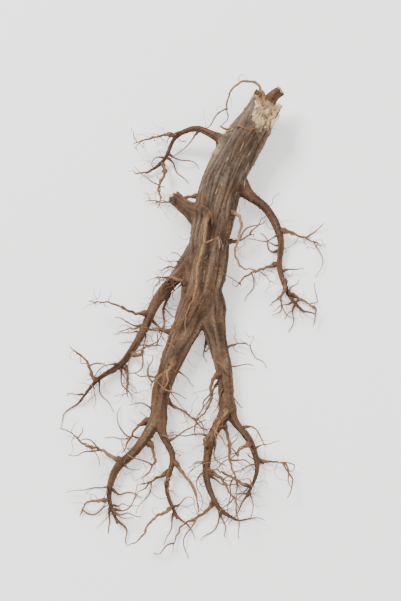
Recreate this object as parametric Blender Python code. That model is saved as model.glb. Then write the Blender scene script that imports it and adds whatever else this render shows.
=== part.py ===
"""Dried ginseng root: a stout forked body with side roots and wiry rootlets, lying on its side.

The origin is the middle of the flat spot under the root's weight, where it rests. +Y runs towards
the crown, +Z is up and +X is to the right of someone who looks down on it with the crown at the top.
Lengths are worked out in millimetres and become metres when a mesh is made.
"""

import math
import random

import bmesh
import bpy
import numpy as np
from mathutils import Matrix

MM = 0.001
NODE = "ginseng_root"

# Driving dimensions, in millimetres.
BODY_RADIUS = 6.2
CROWN_DISH = 1.6
CROWN_SLANT = 1.7
CROWN_LIP = 1.8
CROWN_RAGGEDNESS = 0.3
TEAR_LENGTH = 7.5
TEAR_RAGGEDNESS = 0.7
TEAR_STEP = 0.8
TEAR_DEPTH = 2.4
ROOTLET_RADIUS = 0.42
FLOOR_GAP = 0.35
FLOOR_BLOCK = (120.0, 240.0, 10.0)
RING_SPACING = 2.5
STEP = 1.7
CLEARANCE = 0.9
ROOTLETS_APART = 1.5
LOOPS_APART = 2.4

# Shares of a member's radius.
FURROW_DEPTH = 0.14
TWO_LOBES = 0.045
THREE_LOBES = 0.030
SWELLS = 0.035
TIP_DOME = 0.9
BROKEN_DENT = 0.25
CAP_RINGS = (0.5, 0.88)
ROOTLET_START = 0.45

# Shares of a rootlet's radius, at its base and taken off by its tip.
ROOTLET_BASE = 1.35
ROOTLET_THINNING = 0.65

# Angles round the root, from the top towards the right, and counts round it.
TEAR_FACING = 0.55
RIM_LOWEST = 0.4
LIP_AT = 1.6
FURROWS_AROUND = 7

# Each thick member runs through points of x, y, z in millimetres and a radius in body radii.
MEMBERS = {
    "trunk": [
        (9.4, 41.0, 8.7, 0.82),
        (7.6, 35.5, 7.9, 0.94),
        (5.0, 29.0, 6.9, 0.98),
        (1.8, 20.0, 6.1, 1.05),
        (0.1, 10.0, 5.7, 1.00),
        (-0.4, 0.0, 5.5, 0.97),
        (0.1, -10.0, 5.5, 0.94),
        (-0.3, -19.0, 5.3, 0.90),
        (-2.0, -28.0, 4.7, 0.72),
        (-4.6, -38.0, 3.9, 0.56),
        (-6.6, -49.0, 3.2, 0.44),
        (-7.0, -59.0, 3.0, 0.34),
        (-10.6, -68.0, 2.3, 0.25),
        (-15.6, -75.0, 2.2, 0.19),
        (-16.2, -83.0, 2.4, 0.13),
        (-12.6, -90.0, 1.4, 0.08),
    ],
    "right_leg": [
        (0.6, -17.0, 5.6, 0.52),
        (3.4, -25.0, 5.1, 0.56),
        (7.0, -34.0, 4.2, 0.46),
        (10.6, -44.0, 3.0, 0.38),
        (12.0, -54.0, 2.6, 0.30),
        (9.4, -63.0, 3.0, 0.22),
        (9.8, -73.0, 2.6, 0.16),
        (14.2, -81.0, 1.9, 0.11),
        (20.0, -84.0, 1.4, 0.07),
    ],
    "right_fork": [
        (11.6, -49.0, 2.9, 0.26),
        (15.0, -56.0, 3.6, 0.20),
        (20.4, -61.4, 3.4, 0.16),
        (23.6, -69.0, 2.3, 0.12),
        (21.8, -77.0, 1.3, 0.07),
    ],
    "tail_fork": [
        (-7.0, -55.0, 3.1, 0.28),
        (-4.4, -63.0, 3.7, 0.19),
        (-0.4, -69.4, 3.2, 0.15),
        (-0.8, -78.0, 2.0, 0.11),
        (3.6, -86.0, 1.3, 0.07),
    ],
    "left_leg": [
        (-2.0, -6.0, 5.4, 0.46),
        (-7.0, -14.6, 4.8, 0.35),
        (-12.6, -23.6, 3.0, 0.27),
        (-15.4, -34.0, 1.25, 0.22),
        (-19.6, -43.6, 1.4, 0.17),
        (-25.6, -50.0, 2.2, 0.12),
        (-29.6, -57.0, 1.4, 0.07),
    ],
    "right_side_root": [
        (3.4, 18.0, 5.4, 0.42),
        (9.2, 12.8, 6.0, 0.28),
        (15.2, 9.4, 4.8, 0.22),
        (20.2, 2.4, 2.4, 0.19),
        (21.6, -7.4, 0.88, 0.15),
        (25.6, -15.6, 1.3, 0.11),
        (30.6, -20.0, 1.2, 0.07),
    ],
    "upper_side_root": [
        (2.6, 26.0, 8.2, 0.34),
        (-4.0, 29.0, 9.2, 0.21),
        (-10.2, 31.2, 7.6, 0.16),
        (-15.8, 28.6, 4.6, 0.13),
        (-18.4, 21.6, 2.4, 0.10),
        (-22.8, 17.0, 1.3, 0.06),
    ],
    "broken_side_root": [
        (-2.0, 2.6, 6.4, 0.52),
        (-6.6, 4.2, 7.4, 0.37),
        (-9.8, 5.6, 7.8, 0.32),
        (-13.2, 8.2, 7.4, 0.34),
    ],
    "neck_stub": [
        (9.8, 39.4, 7.4, 0.46),
        (10.8, 43.0, 8.4, 0.34),
        (12.0, 45.4, 9.0, 0.28),
        (14.2, 47.4, 9.4, 0.25),
    ],
    "crown_bud": [
        (7.8, 39.6, 7.0, 0.30),
        (7.4, 43.2, 8.4, 0.31),
        (6.6, 45.8, 9.4, 0.14),
    ],
}
SIDES_AROUND = {
    "trunk": 28,
    "right_leg": 18,
    "right_fork": 8,
    "tail_fork": 8,
    "left_leg": 12,
    "right_side_root": 10,
    "upper_side_root": 8,
    "broken_side_root": 10,
    "neck_stub": 12,
    "crown_bud": 10,
}
BROKEN_ENDS = ("broken_side_root", "neck_stub")

# Rootlets with a route of their own, as points of x, y, z in millimetres.
SHOWN_ROOTLETS = {
    "crown_loop": [
        (9.4, 38.6, 11.0), (8.6, 43.4, 14.0), (4.4, 46.2, 14.4), (-0.2, 44.0, 13.6),
        (-1.6, 38.8, 12.0), (-0.8, 34.4, 10.6), (-2.8, 30.8, 11.8),
    ],
    "front_rootlet": [
        (-0.6, 4.0, 9.6), (-1.6, -1.0, 12.9), (-1.2, -8.0, 13.0), (-2.0, -15.0, 12.8),
        (-1.4, -22.0, 12.0), (-2.9, -29.0, 10.9), (-2.4, -36.0, 9.0),
    ],
    "knotted_rootlet": [
        (4.0, 6.0, 7.4), (7.8, 3.4, 9.8), (8.4, -1.6, 9.0), (7.9, -7.4, 8.3),
        (10.6, -11.6, 8.6), (15.6, -11.8, 7.9), (20.4, -14.4, 6.4),
    ],
}

# Seeded rootlets: how many grow on each member, and between which shares of its length.
SEEDED_ROOTLETS = {
    "trunk": (13, 0.16, 0.97),
    "right_leg": (7, 0.20, 0.97),
    "right_fork": (3, 0.35, 0.95),
    "tail_fork": (3, 0.35, 0.95),
    "left_leg": (5, 0.25, 0.96),
    "right_side_root": (4, 0.35, 0.97),
    "upper_side_root": (2, 0.55, 0.95),
}
SEED = 23
TRIES = 400
GOLDEN_ANGLE = math.radians(137.5)
REACH = ((-34.0, 34.0), (-97.0, 52.0), (0.0, 19.0))


def smooth_line(points, spacing):
    """Even stations on a Catmull-Rom curve through the points; columns after z ride along."""
    given = np.array(points, float)
    ends = np.vstack([2 * given[0] - given[1], given, 2 * given[-1] - given[-2]])
    t = np.linspace(0, 1, 24, endpoint=False)[:, None]
    runs = [
        0.5 * (2 * b + (c - a) * t + (2 * a - 5 * b + 4 * c - d) * t**2 + (3 * b - a - 3 * c + d) * t**3)
        for a, b, c, d in zip(ends, ends[1:], ends[2:], ends[3:])
    ]
    fine = np.vstack([*runs, given[-1:]])
    steps = np.linalg.norm(np.diff(fine[:, :3], axis=0), axis=1)
    along = np.concatenate([[0], np.cumsum(steps)])
    stations = np.linspace(0, along[-1], max(3, round(along[-1] / spacing) + 1))
    columns = [np.interp(stations, along, column) for column in fine.T]
    return np.column_stack(columns), stations


def unit(vectors):
    return vectors / np.linalg.norm(vectors, axis=-1, keepdims=True)


def upright_frame(line):
    """Tangent, upward normal and sideways normal at each station of a line."""
    tangent = unit(np.gradient(line[:, :3], axis=0))
    up = unit(np.array([0, 0, 1.0]) - tangent[:, 2:] * tangent)
    return tangent, up, np.cross(up, tangent)


def member_line(name, spacing=RING_SPACING):
    """A thick member's stations, with the radius in millimetres as the fourth column."""
    scaled = [(x, y, z, share * BODY_RADIUS) for x, y, z, share in MEMBERS[name]]
    return smooth_line(scaled, spacing)


def furrowed(along, angle, phase):
    """Radius factor of shrivelled skin: slow lobes round the root and V-shaped furrows along it."""
    lobes = TWO_LOBES * np.cos(2 * angle + 0.05 * along + phase)
    lobes = lobes + THREE_LOBES * np.cos(3 * angle - 0.07 * along)
    swells = SWELLS * np.sin(along / 3.3 + 2 * angle + phase)
    drift = 0.55 * np.sin(0.13 * along + phase) + 0.02 * along
    groove = 1 - np.abs(np.cos(FURROWS_AROUND * angle / 2 + drift)) ** 0.6
    return 1 + lobes + swells - FURROW_DEPTH * groove


def torn_radius(along, angle, radius):
    """Radius of the face that is torn open at the crown's upper right: flat, deeper towards the end."""
    facing = np.cos(angle - TEAR_FACING)
    reach = TEAR_LENGTH * (0.7 + 0.3 * facing) + TEAR_RAGGEDNESS * np.sin(5 * angle)
    depth = TEAR_STEP + (TEAR_DEPTH - TEAR_STEP) * (1 - along / reach)
    torn = (facing > 0.2) & (along < reach)
    return np.where(torn, (radius - depth) / np.clip(facing, 0.2, 1), 2 * BODY_RADIUS)


def rim_height(angle):
    """How far the crown's torn rim stands past the first station: slanted to face up, with one lip."""
    slant = CROWN_SLANT * (1 - np.cos(angle - RIM_LOWEST))
    lip = CROWN_LIP * np.clip(np.cos(angle - LIP_AT), 0, 1) ** 4
    return slant + lip + CROWN_RAGGEDNESS * np.sin(4 * angle)


def crown_rings(centre, outward, spoke, radius):
    """Rings from the dished middle of the crown out to its torn rim, and the point in the middle."""
    height = rim_height(np.linspace(0, 2 * math.pi, len(spoke), endpoint=False))
    rings = []
    for share in CAP_RINGS:
        rise = share * height + (1 - share) * (CROWN_SLANT - CROWN_DISH)
        rings.append(centre + share * radius[:, None] * spoke + rise[:, None] * outward)
    return rings, centre + (CROWN_SLANT - CROWN_DISH) * outward


def grid_mesh(name, rings, caps):
    """Closed mesh from rings of points, in millimetres, with one point to close each end."""
    shape = bmesh.new()
    rows = [[shape.verts.new(point * MM) for point in ring] for ring in rings]
    first, last = (shape.verts.new(point * MM) for point in caps)
    sides = len(rows[0])
    for near, far in zip(rows, rows[1:]):
        for k in range(sides):
            shape.faces.new((near[k], near[(k + 1) % sides], far[(k + 1) % sides], far[k]))
    for k in range(sides):
        shape.faces.new((first, rows[0][(k + 1) % sides], rows[0][k]))
        shape.faces.new((last, rows[-1][k], rows[-1][(k + 1) % sides]))
    bmesh.ops.triangulate(shape, faces=shape.faces)
    bmesh.ops.recalc_face_normals(shape, faces=shape.faces)
    mesh = bpy.data.meshes.new(name)
    shape.to_mesh(mesh)
    shape.free()
    return mesh


def thick_member(name, phase):
    """Loft along a member, its section changing with its furrows; the trunk also has the crown."""
    line, along = member_line(name)
    tangent, up, side = upright_frame(line)
    angle = np.linspace(0, 2 * math.pi, SIDES_AROUND[name], endpoint=False)
    spoke = np.cos(angle)[None, :, None] * up[:, None] + np.sin(angle)[None, :, None] * side[:, None]
    length, turn = np.meshgrid(along, angle, indexing="ij")
    radius = line[:, 3:4] * furrowed(length, turn, phase)
    if name == "trunk":
        radius = np.minimum(radius, torn_radius(length, turn, line[:, 3:4]))
    rings = list(line[:, None, :3] + spoke * radius[..., None])
    start = line[0, :3]
    if name == "trunk":
        inner, start = crown_rings(start, -tangent[0], spoke[0], radius[0])
        rings = [*inner, *rings]
    dome = -BROKEN_DENT if name in BROKEN_ENDS else TIP_DOME
    end = line[-1, :3] + tangent[-1] * dome * line[-1, 3]
    return grid_mesh(name, rings, (start, end))


def wander(draw, start, heading):
    """Curly route from a point: the heading turns by two slow waves, and lies down on the floor."""
    count = draw.randint(7, 13)
    waves = [(draw.uniform(0.10, 0.34), draw.uniform(0.35, 0.9), draw.uniform(0, 6.28)) for _ in range(2)]
    lift = draw.uniform(0.02, 0.07)
    points = [start]
    for k in range(count):
        aside = unit(np.cross(heading, (0, 0, 1.0)) + 1e-6)
        over = np.cross(aside, heading)
        yaw, pitch = (size * math.sin(rate * k + phase) for size, rate, phase in waves)
        heading = unit(heading + aside * yaw + over * pitch - np.array([0, 0, lift]))
        ahead = points[-1] + heading * STEP
        low = ROOTLET_RADIUS + FLOOR_GAP
        if ahead[2] < low:
            ahead[2] = low
            heading = unit(ahead - points[-1])
        points.append(ahead)
    return np.array(points)


def stands_clear(route, others, lines):
    """True if a route keeps inside its reach and off the members, the other routes and itself."""
    low, high = np.array(REACH).T
    if (route < low).any() or (route > high).any():
        return False
    free = route[3:]
    for line in lines:
        apart = np.linalg.norm(free[:, None] - line[None, :, :3], axis=2) - line[None, :, 3] * 1.12
        if apart.min() < CLEARANCE:
            return False
    for other in others:
        if np.linalg.norm(route[1:, None] - other[None], axis=2).min() < ROOTLETS_APART:
            return False
    gaps = np.linalg.norm(route[:, None] - route[None], axis=2)
    far_along = np.abs(np.subtract.outer(range(len(route)), range(len(route)))) > 2
    return gaps[far_along].min() > LOOPS_APART


def rootlet_routes():
    """Routes of all rootlets, those with a route of their own first and then the seeded ones."""
    draw = random.Random(SEED)
    routes = [smooth_line(points, STEP)[0] for points in SHOWN_ROOTLETS.values()]
    lines = {name: member_line(name, 1.0)[0] for name in MEMBERS}
    turn = 0.0
    for name, (count, first, last) in SEEDED_ROOTLETS.items():
        line = lines[name]
        tangent, up, side = upright_frame(line)
        for k in range(count):
            turn += GOLDEN_ANGLE
            for _ in range(TRIES):
                share = first + (last - first) * (k + draw.uniform(0.1, 0.9)) / count
                at = round(share * (len(line) - 1))
                angle = turn + draw.uniform(-0.9, 0.9)
                outward = math.cos(angle) * up[at] + math.sin(angle) * side[at]
                heading = unit(outward + tangent[at] * draw.uniform(0.1, 1.0))
                base = line[at, :3] + outward * line[at, 3] * ROOTLET_START
                route = wander(draw, base, heading)
                if stands_clear(route, routes, lines.values()):
                    routes.append(route)
                    break
    return routes


def material(name, color, roughness):
    """Plain matt finish of the skin."""
    finish = bpy.data.materials.new(name)
    finish.use_nodes = True
    shader = finish.node_tree.nodes["Principled BSDF"]
    shader.inputs["Base Color"].default_value = (*color, 1.0)
    shader.inputs["Roughness"].default_value = roughness
    return finish


def solid(name, mesh, collection):
    built = bpy.data.objects.new(name, mesh)
    collection.objects.link(built)
    return built


def rootlet(name, route, collection):
    """Wire with a bevel that thins to its tip, turned into a closed mesh."""
    curve = bpy.data.curves.new(name, "CURVE")
    curve.dimensions = "3D"
    curve.bevel_depth = ROOTLET_RADIUS * MM
    curve.bevel_resolution = 0
    curve.use_fill_caps = True
    spline = curve.splines.new("POLY")
    spline.points.add(len(route) - 1)
    for k, (point, place) in enumerate(zip(spline.points, route)):
        point.co = (*(place * MM), 1.0)
        point.radius = ROOTLET_BASE - ROOTLET_THINNING * k / (len(route) - 1)
    wire = solid(name + "_wire", curve, collection)
    bpy.context.view_layer.update()
    mesh = bpy.data.meshes.new_from_object(wire.evaluated_get(bpy.context.evaluated_depsgraph_get()))
    bpy.data.objects.remove(wire)
    bpy.data.curves.remove(curve)
    shape = bmesh.new()
    shape.from_mesh(mesh)
    bmesh.ops.remove_doubles(shape, verts=shape.verts, dist=0.00001)
    bmesh.ops.triangulate(shape, faces=shape.faces)
    bmesh.ops.recalc_face_normals(shape, faces=shape.faces)
    shape.to_mesh(mesh)
    shape.free()
    return solid(name, mesh, collection)


def floor_cutter(collection):
    """Block whose top is the surface that the root rests on; it cuts the small flat spots."""
    bpy.ops.mesh.primitive_cube_add(size=1)
    block = bpy.context.object
    block.name = "floor_cutter"
    below = Matrix.Translation((0, 0, -FLOOR_BLOCK[2] * MM / 2))
    block.data.transform(below @ Matrix.Diagonal((*FLOOR_BLOCK, 1)) @ Matrix.Diagonal((MM, MM, MM, 1)))
    for owner in list(block.users_collection):
        owner.objects.unlink(block)
    collection.objects.link(block)
    return block


def build():
    for old in list(bpy.data.objects):
        bpy.data.objects.remove(old)
    home = bpy.context.scene.collection
    shown, joined = (bpy.data.collections.new(n) for n in ("Ginseng root", "joined"))
    for collection in (shown, joined):
        home.children.link(collection)

    root = solid(NODE, thick_member("trunk", 0.0), shown)
    for k, name in enumerate(n for n in MEMBERS if n != "trunk"):
        solid(name, thick_member(name, 1.1 * (k + 1)), joined)
    for k, route in enumerate(rootlet_routes()):
        rootlet(f"rootlet_{k:02d}", route, joined)

    union = root.modifiers.new("join", "BOOLEAN")
    union.operation = "UNION"
    union.operand_type = "COLLECTION"
    union.collection = joined
    union.solver = "EXACT"
    cut_block = floor_cutter(home)
    cut = root.modifiers.new("rest", "BOOLEAN")
    cut.operation = "DIFFERENCE"
    cut.object = cut_block
    cut.solver = "EXACT"
    bpy.context.view_layer.update()
    fused = bpy.data.meshes.new_from_object(root.evaluated_get(bpy.context.evaluated_depsgraph_get()))
    root.modifiers.clear()
    root.data = fused
    for piece in [cut_block, *joined.objects]:
        bpy.data.objects.remove(piece)
    bpy.data.collections.remove(joined)
    root.data.materials.append(material("dried_bark", (0.165, 0.120, 0.090), 0.85))
    root.data.shade_smooth()
    root.data.set_sharp_from_angle(angle=math.radians(50))


build()
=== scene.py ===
"""Looks of a dried ginseng root: shrivelled bark, torn crown, wiry rootlets, hairs and loose bark flakes.

Every surface is worked out in millimetres as whole arrays, and becomes metres when its mesh is made.
"""

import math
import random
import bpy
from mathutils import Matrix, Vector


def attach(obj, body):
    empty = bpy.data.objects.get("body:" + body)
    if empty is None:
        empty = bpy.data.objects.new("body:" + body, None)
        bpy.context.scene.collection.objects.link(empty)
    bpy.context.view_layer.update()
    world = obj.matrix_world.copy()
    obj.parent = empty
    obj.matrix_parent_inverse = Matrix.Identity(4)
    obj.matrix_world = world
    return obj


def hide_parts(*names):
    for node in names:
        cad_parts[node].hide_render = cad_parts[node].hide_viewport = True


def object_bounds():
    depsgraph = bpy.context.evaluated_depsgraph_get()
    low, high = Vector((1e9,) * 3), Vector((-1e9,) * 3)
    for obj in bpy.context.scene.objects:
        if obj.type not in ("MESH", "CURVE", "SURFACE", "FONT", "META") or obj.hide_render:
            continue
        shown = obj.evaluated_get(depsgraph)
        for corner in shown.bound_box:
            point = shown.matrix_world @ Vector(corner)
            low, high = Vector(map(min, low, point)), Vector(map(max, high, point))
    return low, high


bl_info = {
    "name": "Dried ginseng root",
    "version": (1, 0, 0),
    "blender": (4, 5, 0),
    "location": "View3D > Sidebar > Ginseng root",
    "description": "Builds the bark, crown, rootlets, hairs and flakes of one dried ginseng root",
    "category": "Add Mesh",
}

from functools import lru_cache
from typing import NamedTuple

import bpy
import numpy as np
from bpy.props import FloatProperty, FloatVectorProperty, IntProperty, PointerProperty
from mathutils import Vector

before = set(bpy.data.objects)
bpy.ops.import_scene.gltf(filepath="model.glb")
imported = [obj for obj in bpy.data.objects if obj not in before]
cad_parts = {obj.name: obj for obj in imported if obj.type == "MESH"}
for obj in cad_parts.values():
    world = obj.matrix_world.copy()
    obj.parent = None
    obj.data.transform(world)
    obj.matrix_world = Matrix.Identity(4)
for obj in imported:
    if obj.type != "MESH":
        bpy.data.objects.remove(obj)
CAD_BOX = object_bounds()

MM = 0.001
NODE = "ginseng_root"
BODY = "root"

# The solid's form. Lengths are in millimetres, and each member's points end with a radius in body radii.
BODY_RADIUS = 6.2
FURROW_DEPTH = 0.14
FURROWS_AROUND = 7
CROWN_DISH = 1.6
CROWN_SLANT = 1.7
CROWN_LIP = 1.8
TEAR_FACING = 0.55
TEAR_LENGTH = 7.5
TEAR_STEP = 0.8
TEAR_DEPTH = 2.4
ROOTLET_RADIUS = 0.42
FLOOR_GAP = 0.35

MEMBERS = {
    "trunk": [
        (9.4, 41.0, 8.7, 0.82), (7.6, 35.5, 7.9, 0.94), (5.0, 29.0, 6.9, 0.98), (1.8, 20.0, 6.1, 1.05),
        (0.1, 10.0, 5.7, 1.00), (-0.4, 0.0, 5.5, 0.97), (0.1, -10.0, 5.5, 0.94), (-0.3, -19.0, 5.3, 0.90),
        (-2.0, -28.0, 4.7, 0.72), (-4.6, -38.0, 3.9, 0.56), (-6.6, -49.0, 3.2, 0.44),
        (-7.0, -59.0, 3.0, 0.34), (-10.6, -68.0, 2.3, 0.25), (-15.6, -75.0, 2.2, 0.19),
        (-16.2, -83.0, 2.4, 0.13), (-12.6, -90.0, 1.4, 0.08),
    ],
    "right_leg": [
        (0.6, -17.0, 5.6, 0.52), (3.4, -25.0, 5.1, 0.56), (7.0, -34.0, 4.2, 0.46),
        (10.6, -44.0, 3.0, 0.38), (12.0, -54.0, 2.6, 0.30), (9.4, -63.0, 3.0, 0.22),
        (9.8, -73.0, 2.6, 0.16), (14.2, -81.0, 1.9, 0.11), (20.0, -84.0, 1.4, 0.07),
    ],
    "right_fork": [
        (11.6, -49.0, 2.9, 0.26), (15.0, -56.0, 3.6, 0.20), (20.4, -61.4, 3.4, 0.16),
        (23.6, -69.0, 2.3, 0.12), (21.8, -77.0, 1.3, 0.07),
    ],
    "tail_fork": [
        (-7.0, -55.0, 3.1, 0.28), (-4.4, -63.0, 3.7, 0.19), (-0.4, -69.4, 3.2, 0.15),
        (-0.8, -78.0, 2.0, 0.11), (3.6, -86.0, 1.3, 0.07),
    ],
    "left_leg": [
        (-2.0, -6.0, 5.4, 0.46), (-7.0, -14.6, 4.8, 0.35), (-12.6, -23.6, 3.0, 0.27),
        (-15.4, -34.0, 1.25, 0.22), (-19.6, -43.6, 1.4, 0.17), (-25.6, -50.0, 2.2, 0.12),
        (-29.6, -57.0, 1.4, 0.07),
    ],
    "right_side_root": [
        (3.4, 18.0, 5.4, 0.42), (9.2, 12.8, 6.0, 0.28), (15.2, 9.4, 4.8, 0.22), (20.2, 2.4, 2.4, 0.19),
        (21.6, -7.4, 0.88, 0.15), (25.6, -15.6, 1.3, 0.11), (30.6, -20.0, 1.2, 0.07),
    ],
    "upper_side_root": [
        (2.6, 26.0, 8.2, 0.34), (-4.0, 29.0, 9.2, 0.21), (-10.2, 31.2, 7.6, 0.16),
        (-15.8, 28.6, 4.6, 0.13), (-18.4, 21.6, 2.4, 0.10), (-22.8, 17.0, 1.3, 0.06),
    ],
    "broken_side_root": [
        (-2.0, 2.6, 6.4, 0.52), (-6.6, 4.2, 7.4, 0.37), (-9.8, 5.6, 7.8, 0.32), (-13.2, 8.2, 7.4, 0.34),
    ],
    "neck_stub": [
        (9.8, 39.4, 7.4, 0.46), (10.8, 43.0, 8.4, 0.34), (12.0, 45.4, 9.0, 0.28), (14.2, 47.4, 9.4, 0.25),
    ],
    "crown_bud": [(7.8, 39.6, 7.0, 0.30), (7.4, 43.2, 8.4, 0.31), (6.6, 45.8, 9.4, 0.14)],
}
ORDER = list(MEMBERS)
BROKEN_ENDS = ("broken_side_root", "neck_stub")
NECK = ("neck_stub", "crown_bud")

# Rootlets that have a place of their own on this root
SHOWN_ROOTLETS = {
    "crown_loop": [
        (9.4, 38.6, 11.0), (8.6, 43.4, 14.0), (4.4, 46.2, 14.4), (-0.2, 44.0, 13.6),
        (-1.6, 38.8, 12.0), (-0.8, 34.4, 10.6), (-2.8, 30.8, 11.8),
    ],
    "front_rootlet": [
        (-0.6, 4.0, 9.6), (-1.6, -1.0, 12.9), (-1.2, -8.0, 13.0), (-2.0, -15.0, 12.8),
        (-1.4, -22.0, 12.0), (-2.9, -29.0, 10.9), (-2.4, -36.0, 9.0),
    ],
    "knotted_rootlet": [
        (4.0, 6.0, 7.4), (7.8, 3.4, 9.8), (8.4, -1.6, 9.0), (7.9, -7.4, 8.3),
        (10.6, -11.6, 8.6), (15.6, -11.8, 7.9), (20.4, -14.4, 6.4),
    ],
}
# Rootlets drawn at random on a member: how many, and the first and last share of its length
SEEDED_ROOTLETS = {
    "trunk": (13, 0.16, 0.97),
    "right_leg": (7, 0.20, 0.97),
    "right_fork": (3, 0.35, 0.95),
    "tail_fork": (3, 0.35, 0.95),
    "left_leg": (5, 0.25, 0.96),
    "right_side_root": (4, 0.35, 0.97),
    "upper_side_root": (2, 0.55, 0.95),
}
SEED = 23
TRIES = 400
STEP = 1.7
GOLDEN_ANGLE = math.radians(137.5)
REACH = ((-34.0, 34.0), (-97.0, 52.0), (0.0, 19.0))
CLEARANCE = 0.9

# The skin's grid: spacing of stations, sides round a line, and rounds of smoothing
FINE = 0.5
TRUNK_SIDES = 96
MEMBER_SIDES = 56
SMOOTHING = 6
# How far a member's skin can stand past its end, and the turn of slanted streaks for each millimetre
END_ROOM = 2.0
TWIST = 0.085
# The relief that counts as a full ridge or fold in the finish
RELIEF_RANGE = 0.4
# How far apart in the patterns two members and two wires lie, so that no two look the same
MEMBER_APART = 9.0
WIRE_APART = 11.0

# Curls of torn skin: where each starts and ends along the body, its side of the tear, width and roll.
CURLS = ((0.0, 5.4, 1, 2.3, 0.7), (0.6, 3.4, -1, 1.6, 0.8), (4.4, 6.9, -1, 1.3, 0.6))
CURL_GRID = (30, 11)
FLAKE_GRID = (9, 5)
ROOTLET_STATIONS = 60
SHOWN_SHADES = (1.25, 0.9, 1.4)

# How the twigs and hairs that grow on the members are shared out among them
SPROUTING = {"trunk": 0.3, "right_leg": 0.2, "left_leg": 0.15, "right_fork": 0.1, "tail_fork": 0.08,
             "right_side_root": 0.1, "upper_side_root": 0.07}


# The solid's own formulas

def unit(vectors):
    """Vectors brought to unit length."""
    return vectors / np.maximum(np.linalg.norm(vectors, axis=-1, keepdims=True), 1e-12)


def distances(points, stations):
    """The distance from each point to each station."""
    return np.linalg.norm(points[:, None] - stations[None, :, :3], axis=-1)


def smooth_line(points, spacing):
    """Even stations on a Catmull-Rom curve through the points; columns after z ride along."""
    given = np.array(points, float)
    ends = np.vstack([2 * given[0] - given[1], given, 2 * given[-1] - given[-2]])
    t = np.linspace(0, 1, 24, endpoint=False)[:, None]
    runs = [
        0.5 * (2 * b + (c - a) * t + (2 * a - 5 * b + 4 * c - d) * t**2 + (3 * b - a - 3 * c + d) * t**3)
        for a, b, c, d in zip(ends, ends[1:], ends[2:], ends[3:])
    ]
    fine = np.vstack([*runs, given[-1:]])
    steps = np.linalg.norm(np.diff(fine[:, :3], axis=0), axis=1)
    along = np.concatenate([[0], np.cumsum(steps)])
    stations = np.linspace(0, along[-1], max(3, round(along[-1] / spacing) + 1))
    columns = [np.interp(stations, along, column) for column in fine.T]
    return np.column_stack(columns), stations


def upright_frame(line):
    """Tangent, upward normal and sideways normal at each station of a line."""
    tangent = unit(np.gradient(line[:, :3], axis=0))
    up = unit(np.array([0, 0, 1.0]) - tangent[:, 2:] * tangent)
    return tangent, up, np.cross(up, tangent)


@lru_cache(maxsize=None)
def member_line(name, spacing):
    """A thick member's stations, with the radius in millimetres as the fourth column."""
    scaled = [(x, y, z, share * BODY_RADIUS) for x, y, z, share in MEMBERS[name]]
    return smooth_line(scaled, spacing)


def furrowed(along, angle, phase):
    """Radius factor of shrivelled skin: slow lobes round the root and V-shaped furrows along it."""
    lobes = 0.045 * np.cos(2 * angle + 0.05 * along + phase) + 0.030 * np.cos(3 * angle - 0.07 * along)
    swells = 0.035 * np.sin(along / 3.3 + 2 * angle + phase)
    drift = 0.55 * np.sin(0.13 * along + phase) + 0.02 * along
    groove = 1 - np.abs(np.cos(FURROWS_AROUND * angle / 2 + drift)) ** 0.6
    return 1 + lobes + swells - FURROW_DEPTH * groove


def torn_face(along, angle, radius, ragged=0.0):
    """Radius of the flat face torn open at the crown's upper right, and how far along the tear reaches."""
    facing = np.cos(angle - TEAR_FACING)
    reach = TEAR_LENGTH * (0.7 + 0.3 * facing) + 0.7 * np.sin(5 * angle) + ragged
    depth = TEAR_STEP + (TEAR_DEPTH - TEAR_STEP) * (1 - along / np.maximum(reach, 1))
    return (radius - depth) / np.clip(facing, 0.2, 1), reach


def rim_height(angle):
    """How far the crown's torn rim stands past the first station: slanted to face up, with one lip."""
    slant = CROWN_SLANT * (1 - np.cos(angle - 0.4))
    lip = CROWN_LIP * np.clip(np.cos(angle - 1.6), 0, 1) ** 4
    return slant + lip + 0.3 * np.sin(4 * angle)


def wander(draw, start, heading):
    """Curly route from a point: the heading turns by two slow waves, and lies down on the floor."""
    count = draw.randint(7, 13)
    waves = [(draw.uniform(0.10, 0.34), draw.uniform(0.35, 0.9), draw.uniform(0, 6.28)) for _ in range(2)]
    lift = draw.uniform(0.02, 0.07)
    points = [start]
    for k in range(count):
        aside = unit(np.cross(heading, (0, 0, 1.0)) + 1e-6)
        over = np.cross(aside, heading)
        yaw, pitch = (size * math.sin(rate * k + phase) for size, rate, phase in waves)
        heading = unit(heading + aside * yaw + over * pitch - np.array([0, 0, lift]))
        ahead = points[-1] + heading * STEP
        low = ROOTLET_RADIUS + FLOOR_GAP
        if ahead[2] < low:
            ahead[2] = low
            heading = unit(ahead - points[-1])
        points.append(ahead)
    return np.array(points)


def stands_clear(route, others, lines):
    """True if a route keeps inside its reach and off the members, the other routes and itself."""
    low, high = np.array(REACH).T
    if (route < low).any() or (route > high).any():
        return False
    free = route[3:]
    if any((distances(free, line) - line[:, 3] * 1.12).min() < CLEARANCE for line in lines):
        return False
    if any(distances(route[1:], other).min() < 1.5 for other in others):
        return False
    far_along = np.abs(np.subtract.outer(range(len(route)), range(len(route)))) > 2
    return distances(route, route)[far_along].min() > 2.4


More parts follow.
